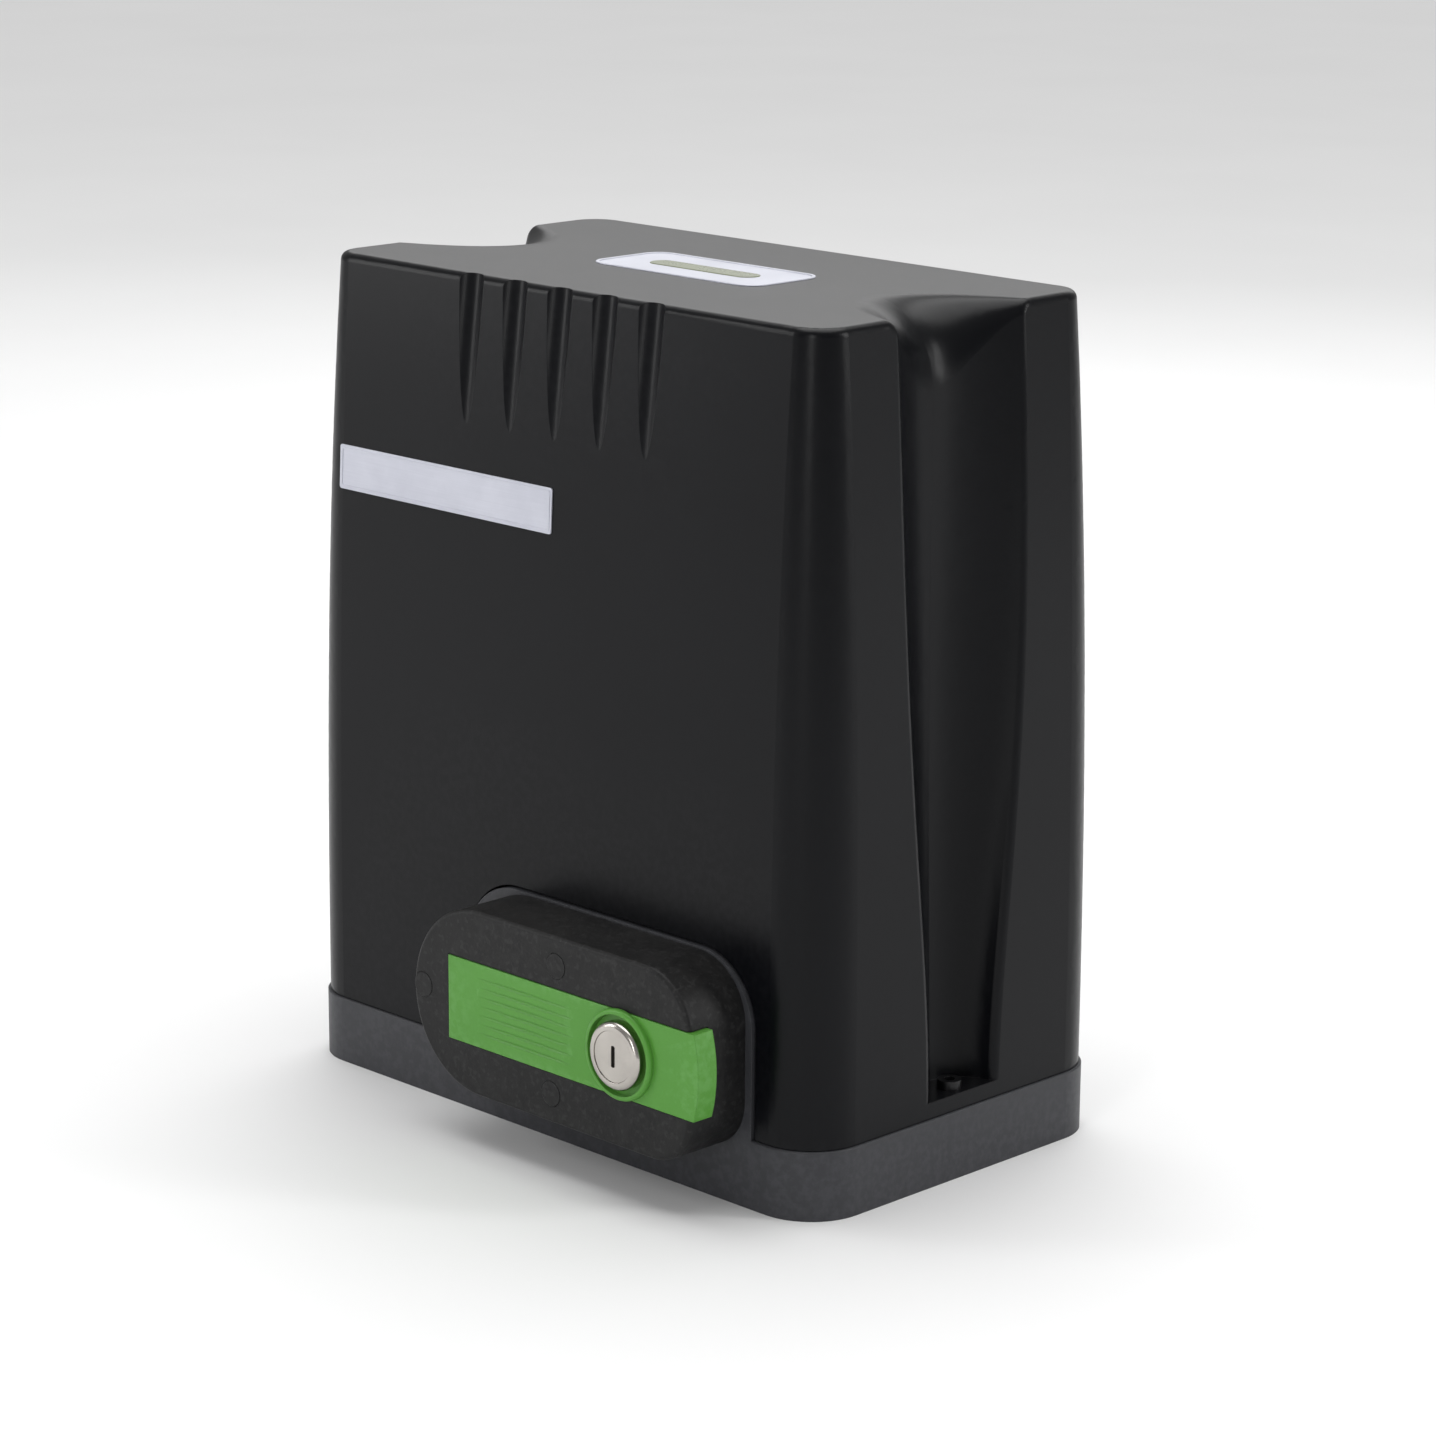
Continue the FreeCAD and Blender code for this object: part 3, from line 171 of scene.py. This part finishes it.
def surface(name, colour, second, rough, spread=0.12, metal=0.0, cloud=0.05, grain=1.6, depth=0.03,
            stretch=(1, 1, 1), worn=None, wear=0.0, dust=0.0, coat=0.0, edge=0.35, speck=0.0, level=0.5):
    """A worked surface of two clouded colours. cloud and grain count per millimetre; depth and edge are the
    grain's depth and the softened edge's radius in millimetres."""
    finish = Finish(name)
    clouds = finish.mottle(cloud, 6.0, 0.6)
    fine = finish.mottle(grain, 3.0, 0.6, stretch)
    mixed = (clouds * CLOUD_SHARE + fine * FINE_SHARE).within(TINT_FROM, TINT_TO)
    tint = finish.blend(mixed, rgb(*colour), rgb(*second))
    if speck:
        tint = speckled(finish, tint, second, grain, speck)
    if wear:
        tint = rubbed(finish, tint, worn, wear)
    if dust:
        tint = dusted(finish, tint, dust)
    sheen = clouds * spread + fine * (spread * 0.6) + (rough - spread * 0.8)
    soft = finish.node("Bevel", {"samples": BEVEL_SAMPLES}, {"Radius": edge * MM})
    normal = finish.node("Bump", {}, {"Strength": BUMP_STRENGTH, "Distance": depth * MM,
                                      "Height": fine, "Normal": soft})
    return finish.shade(Base_Color=tint, Roughness=sheen.within(0.0, 1.0), Metallic=metal, Coat_Weight=coat,
                        Coat_Roughness=COAT_ROUGHNESS, Specular_IOR_Level=level, Normal=normal)


FINISHES = {
    "hood_plastic": surface("hood_satin_black", (0.0016, 0.0018, 0.0028), (0.0025, 0.0028, 0.0040),
                            0.30, 0.05, cloud=0.012, grain=1.9, depth=0.025, dust=0.03,
                            wear=0.25, worn=(0.012, 0.012, 0.014), edge=0.5, level=0.16),
    "base_paint": surface("base_grey_powder_coat", (0.037, 0.038, 0.043), (0.042, 0.043, 0.048), 0.46, 0.08,
                          cloud=0.02, grain=0.9, depth=0.03, wear=0.3, worn=(0.08, 0.08, 0.09), dust=0.04,
                          edge=0.5, level=0.3),
    "textured_plastic": surface("release_block_rough_black", (0.0055, 0.0055, 0.006), (0.011, 0.0108, 0.011),
                                0.5, 0.14, cloud=0.09, grain=1.1, depth=0.08, speck=0.22, dust=0.05,
                                wear=0.25, worn=(0.03, 0.03, 0.03), edge=0.4, level=0.25),
    "green_plastic": surface("lever_green", (0.085, 0.285, 0.038), (0.098, 0.315, 0.046), 0.34, 0.08,
                             cloud=0.03, grain=1.4, depth=0.02, wear=0.4, worn=(0.15, 0.38, 0.10),
                             edge=0.6, level=0.3),
    "nickel": surface("lock_satin_nickel", (0.46, 0.43, 0.40), (0.56, 0.53, 0.49), 0.24, 0.10, metal=1.0,
                      cloud=0.12, grain=2.4, depth=0.012, edge=0.3),
    "bare_plate": surface("bare_silver_plate", (0.50, 0.51, 0.58), (0.58, 0.59, 0.66), 0.36, 0.12, metal=0.35,
                          cloud=0.04, grain=0.8, depth=0.008, stretch=(0.05, 3, 3), edge=0.2),
    "seal_rubber": surface("seal_rubber_black", (0.012, 0.012, 0.012), (0.022, 0.022, 0.021), 0.72, 0.1,
                           cloud=0.06, grain=1.2, depth=0.04, dust=0.2),
    "zinc_steel": surface("zinc_plated_steel", (0.44, 0.44, 0.43), (0.56, 0.56, 0.55), 0.36, 0.16, metal=1.0,
                          cloud=0.10, grain=1.8, depth=0.02, wear=0.3, worn=(0.7, 0.7, 0.7)),
    "black_steel": surface("black_oxide_steel", (0.010, 0.010, 0.011), (0.022, 0.022, 0.023), 0.34, 0.12,
                           metal=0.5, cloud=0.10, grain=1.8, depth=0.02),
    "ground_steel": surface("ground_steel_bar", (0.42, 0.42, 0.43), (0.52, 0.52, 0.53), 0.28, 0.12, metal=1.0,
                            cloud=0.08, grain=1.2, depth=0.01, stretch=(1, 1, 0.2)),
    "cast_aluminium": surface("cast_aluminium_case", (0.40, 0.40, 0.41), (0.52, 0.52, 0.52), 0.55, 0.15,
                              metal=0.9, cloud=0.05, grain=0.9, depth=0.09, dust=0.15,
                              wear=0.4, worn=(0.7, 0.7, 0.7)),
    "bronze": surface("bearing_bronze", (0.42, 0.25, 0.10), (0.55, 0.36, 0.16), 0.34, 0.14, metal=1.0,
                      cloud=0.07, grain=1.4, depth=0.02),
    "motor_paint": surface("motor_black_enamel", (0.012, 0.012, 0.013), (0.022, 0.022, 0.024), 0.30, 0.1,
                           cloud=0.03, grain=0.7, depth=0.03, coat=0.3, wear=0.4, worn=(0.2, 0.2, 0.2)),
    "lamination": surface("varnished_laminations", (0.10, 0.085, 0.07), (0.22, 0.21, 0.20), 0.48, 0.14,
                          metal=0.7, cloud=0.05, grain=1.6, depth=0.06, stretch=(0.05, 0.05, 1.6)),
    "copper_winding": surface("enamelled_copper", (0.34, 0.11, 0.035), (0.52, 0.21, 0.075), 0.34, 0.12,
                              metal=0.9, cloud=0.06, grain=1.3, depth=0.10, stretch=(0.25, 0.25, 1.4)),
    "board_laminate": surface("board_green_laminate", (0.012, 0.09, 0.035), (0.02, 0.13, 0.05), 0.34, 0.1,
                              cloud=0.15, grain=0.9, depth=0.02, speck=0.2),
    "terminal_plastic": surface("terminal_plastic", (0.035, 0.09, 0.05), (0.05, 0.12, 0.065), 0.45, 0.1,
                                cloud=0.08, grain=1.1, depth=0.03),
    "capacitor_can": surface("capacitor_drawn_can", (0.55, 0.55, 0.57), (0.66, 0.66, 0.68), 0.33, 0.12,
                             metal=1.0, cloud=0.05, grain=1.0, depth=0.015, stretch=(1, 1, 0.1)),
}
OLIVE = surface("badge_olive_enamel", (0.085, 0.105, 0.030), (0.120, 0.145, 0.045), 0.28, 0.1,
                cloud=0.06, grain=1.2, depth=0.01, coat=0.3)
SLOT_DARK = surface("keyway_shutter_dark", (0.010, 0.010, 0.010), (0.03, 0.03, 0.03), 0.5, 0.1,
                    metal=0.4, cloud=0.2, grain=1.5, depth=0.02)

for entry in frame["record"]["subparts"]:
    mesh = NODES[entry["node"]].data
    mesh.materials.clear()
    mesh.materials.append(FINISHES[entry["material_slot"]])


# ------------------------------------------------------------ made pieces

def piece(name, mesh, finish, body):
    """Link a made mesh as a piece that rides on a body of the motor."""
    made = bpy.data.meshes.new(name)
    mesh.to_mesh(made)
    mesh.free()
    made.materials.append(finish)
    shown = bpy.data.objects.new(name, made)
    bpy.context.scene.collection.objects.link(shown)
    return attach(shown, body)


LEAST_CORNER = 0.2 * MM


def bridged(mesh, lower, upper):
    """Faces between two rings of as many points."""
    for here in range(len(lower)):
        after = (here + 1) % len(lower)
        mesh.faces.new((lower[here], lower[after], upper[after], upper[here]))


def round_corners(width, depth, radius, steps=10):
    """Points round a rectangle with round corners, about its middle."""
    points = []
    for quarter, (across, deep) in enumerate(((1, 1), (-1, 1), (-1, -1), (1, -1))):
        for step in range(steps + 1):
            angle = (quarter + step / steps) * math.pi / 2
            points.append(((width / 2 - radius) * across + radius * math.cos(angle),
                           (depth / 2 - radius) * deep + radius * math.sin(angle)))
    return points


def stacked(mesh, width, depth, radius, levels, place):
    """Rings of a round-cornered plate, each level an (inset, height); the last one is filled in."""
    rings = []
    for inset, height in levels:
        outline = round_corners(width - 2 * inset, depth - 2 * inset, max(radius - inset, LEAST_CORNER))
        rings.append([mesh.verts.new(place @ Vector((x, y, height))) for x, y in outline])
    for lower, upper in zip(rings, rings[1:]):
        bridged(mesh, lower, upper)
    mesh.faces.new(list(reversed(rings[0])))
    mesh.faces.new(rings[-1])


def top_badge():
    """The badge with its raised rim and a plain enamelled band across the field."""
    low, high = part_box("top_badge")
    width, depth, top = high.x - low.x, high.y - low.y, high.z - low.z
    place = Matrix.Translation(((low.x + high.x) / 2, (low.y + high.y) / 2, low.z))
    corner, soft, rim, field = 8 * MM, 0.18 * MM, 1.3 * MM, top - 0.35 * MM
    mesh = bmesh.new()
    stacked(mesh, width, depth, corner,
            [(0, 0), (0, top - soft), (soft, top), (rim, top), (rim + soft, field)], place)
    plate = piece("badge_plate", mesh, FINISHES["bare_plate"], "frame")
    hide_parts("top_badge")

    band_width, band_depth, band_corner = width * 0.62, depth * 0.26, depth * 0.13
    bedded, shoulder, crown, bevel = field - 0.1 * MM, top - 0.25 * MM, top - 0.12 * MM, 0.2 * MM
    mesh = bmesh.new()
    stacked(mesh, band_width, band_depth, band_corner, [(0, bedded), (0, shoulder), (bevel, crown)], place)
    piece("badge_band", mesh, OLIVE, "frame")


def label_rim():
    """A fine raised border round the bare front plate, lying in the plate's own slope."""
    low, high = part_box("front_label")
    points = [vertex.co for vertex in NODES["front_label"].data.vertices]
    near_edge = 1.5 * MM
    foot = min(point.y for point in points if point.z < low.z + near_edge)
    head = min(point.y for point in points if point.z > high.z - near_edge)
    lean = math.atan2(head - foot, high.z - low.z)
    middle = Vector(((low.x + high.x) / 2, (foot + head) / 2, (low.z + high.z) / 2))
    place = Matrix.Translation(middle) @ Matrix.Rotation(math.pi / 2 - lean, 4, "X")
    outer, inner, proud, sunk, corner = 0.9 * MM, 1.5 * MM, 0.14 * MM, -0.1 * MM, 0.8 * MM
    width, height = high.x - low.x, (high.z - low.z) / math.cos(lean)
    mesh = bmesh.new()
    rings = []
    for inset, lift in ((outer, sunk), (outer, proud), (inner, proud), (inner, sunk)):
        outline = round_corners(width - 2 * inset, height - 2 * inset, corner, 4)
        rings.append([mesh.verts.new(place @ Vector((x, y, lift))) for x, y in outline])
    for start, end in zip(rings, rings[1:] + rings[:1]):
        bridged(mesh, start, end)
    piece("label_rim", mesh, FINISHES["bare_plate"], "frame")


def keyway_shutter():
    """The sprung dust shutter set back in the plug's keyway."""
    low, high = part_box("lock_plug")
    set_back, size = 4.2 * MM, (1.5 * MM, 5.0 * MM, 7.0 * MM)
    centre = Vector(((low.x + high.x) / 2, low.y + set_back, (low.z + high.z) / 2))
    mesh = bmesh.new()
    bmesh.ops.create_cube(mesh, size=1.0)
    bmesh.ops.scale(mesh, vec=size, verts=mesh.verts)
    bmesh.ops.translate(mesh, vec=centre, verts=mesh.verts)
    piece("keyway_shutter", mesh, SLOT_DARK, "lock_core")


top_badge()
label_rim()
keyway_shutter()


# ------------------------------------------------------------ studio

FLOOR_HALF = 14.0
PALE, PALER = rgb(0.82, 0.82, 0.82), rgb(0.86, 0.86, 0.86)
CENTRE = (0.0, 0.0, 0.15)
ROOM_STRENGTH, SKY_STRENGTH = 0.30, 1.5
SKY_SPREAD, SKY_LEAN = math.radians(60), (math.radians(-12), math.radians(-10), 0)
SOFTBOXES = [    # name, place, width, height, power in watts
    ("overhead", (-0.2, 0.3, 1.9), 1.8, 1.8, 16),
    ("back_sweep", (-0.9, 1.3, 0.9), 1.4, 0.7, 3.5),
    ("front_left", (-1.4, -1.2, 0.75), 0.3, 1.1, 8),
    ("key", (0.62, -1.60, 0.70), 0.3, 1.0, 6),
    ("right_side", (1.5, 0.9, 0.8), 0.25, 1.2, 10),
]
VIEW_PLACE = (1.04451, -1.03694, 0.51972)
VIEW_YAW, VIEW_PITCH, VIEW_ROLL = 44.918, 14.52, 0.378
SENSOR_WIDTH, LENS = 36.0, 106.54       # millimetres, as Blender's cameras count them
CLIP_NEAR, CLIP_FAR = 0.05, 50.0


def floor():
    """A pale matt floor under the motor."""
    mesh = bmesh.new()
    bmesh.ops.create_grid(mesh, x_segments=1, y_segments=1, size=FLOOR_HALF)
    bmesh.ops.translate(mesh, vec=(0, 0, CAD_BOX[0].z), verts=mesh.verts)
    made = bpy.data.meshes.new("floor")
    mesh.to_mesh(made)
    mesh.free()
    finish = Finish("pale_floor")
    made.materials.append(finish.shade(Base_Color=finish.blend(finish.mottle(0.004, 2.0), PALE, PALER),
                                       Roughness=0.9))
    shown = bpy.data.objects.new("floor", made)
    bpy.context.scene.collection.objects.link(shown)


def softbox(name, place, width, height, power):
    """A rectangular studio light aimed at the middle of the motor."""
    light = bpy.data.lights.new(name, "AREA")
    light.shape = "RECTANGLE"
    light.size, light.size_y, light.energy = width, height, power
    lamp = bpy.data.objects.new(name, light)
    lamp.location = place
    lamp.rotation_euler = (Vector(CENTRE) - Vector(place)).to_track_quat("-Z", "Y").to_euler()
    bpy.context.scene.collection.objects.link(lamp)


def skylight(strength):
    """Broad soft light from above that keeps the whole floor evenly pale."""
    light = bpy.data.lights.new("skylight", "SUN")
    light.energy, light.angle = strength, SKY_SPREAD
    lamp = bpy.data.objects.new("skylight", light)
    lamp.rotation_euler = SKY_LEAN
    bpy.context.scene.collection.objects.link(lamp)


def surroundings(strength):
    """An even white room."""
    world = bpy.data.worlds.new("white_room")
    world.use_nodes = True
    world.node_tree.nodes["Background"].inputs["Color"].default_value = rgb(1.0, 1.0, 1.0)
    world.node_tree.nodes["Background"].inputs["Strength"].default_value = strength
    bpy.context.scene.world = world


def camera():
    """The view from the front right, a little above the hood."""
    yaw, pitch, roll = (math.radians(angle) for angle in (VIEW_YAW, VIEW_PITCH, VIEW_ROLL))
    back = Vector((math.sin(yaw) * math.cos(pitch), -math.cos(yaw) * math.cos(pitch), math.sin(pitch)))
    right = Vector((math.cos(yaw), math.sin(yaw), 0.0))
    up = back.cross(right)
    across = math.cos(roll) * right + math.sin(roll) * up
    upward = math.cos(roll) * up - math.sin(roll) * right
    lens = bpy.data.cameras.new("view")
    lens.sensor_width, lens.lens = SENSOR_WIDTH, LENS
    lens.clip_start, lens.clip_end = CLIP_NEAR, CLIP_FAR
    shown = bpy.data.objects.new("view", lens)
    turn = Matrix((across, upward, back)).transposed().to_4x4()
    shown.matrix_world = Matrix.Translation(VIEW_PLACE) @ turn
    bpy.context.scene.collection.objects.link(shown)
    bpy.context.scene.camera = shown


floor()
surroundings(ROOM_STRENGTH)
skylight(SKY_STRENGTH)
for box in SOFTBOXES:
    softbox(*box)
camera()
bpy.context.scene.view_settings.view_transform = "Standard"
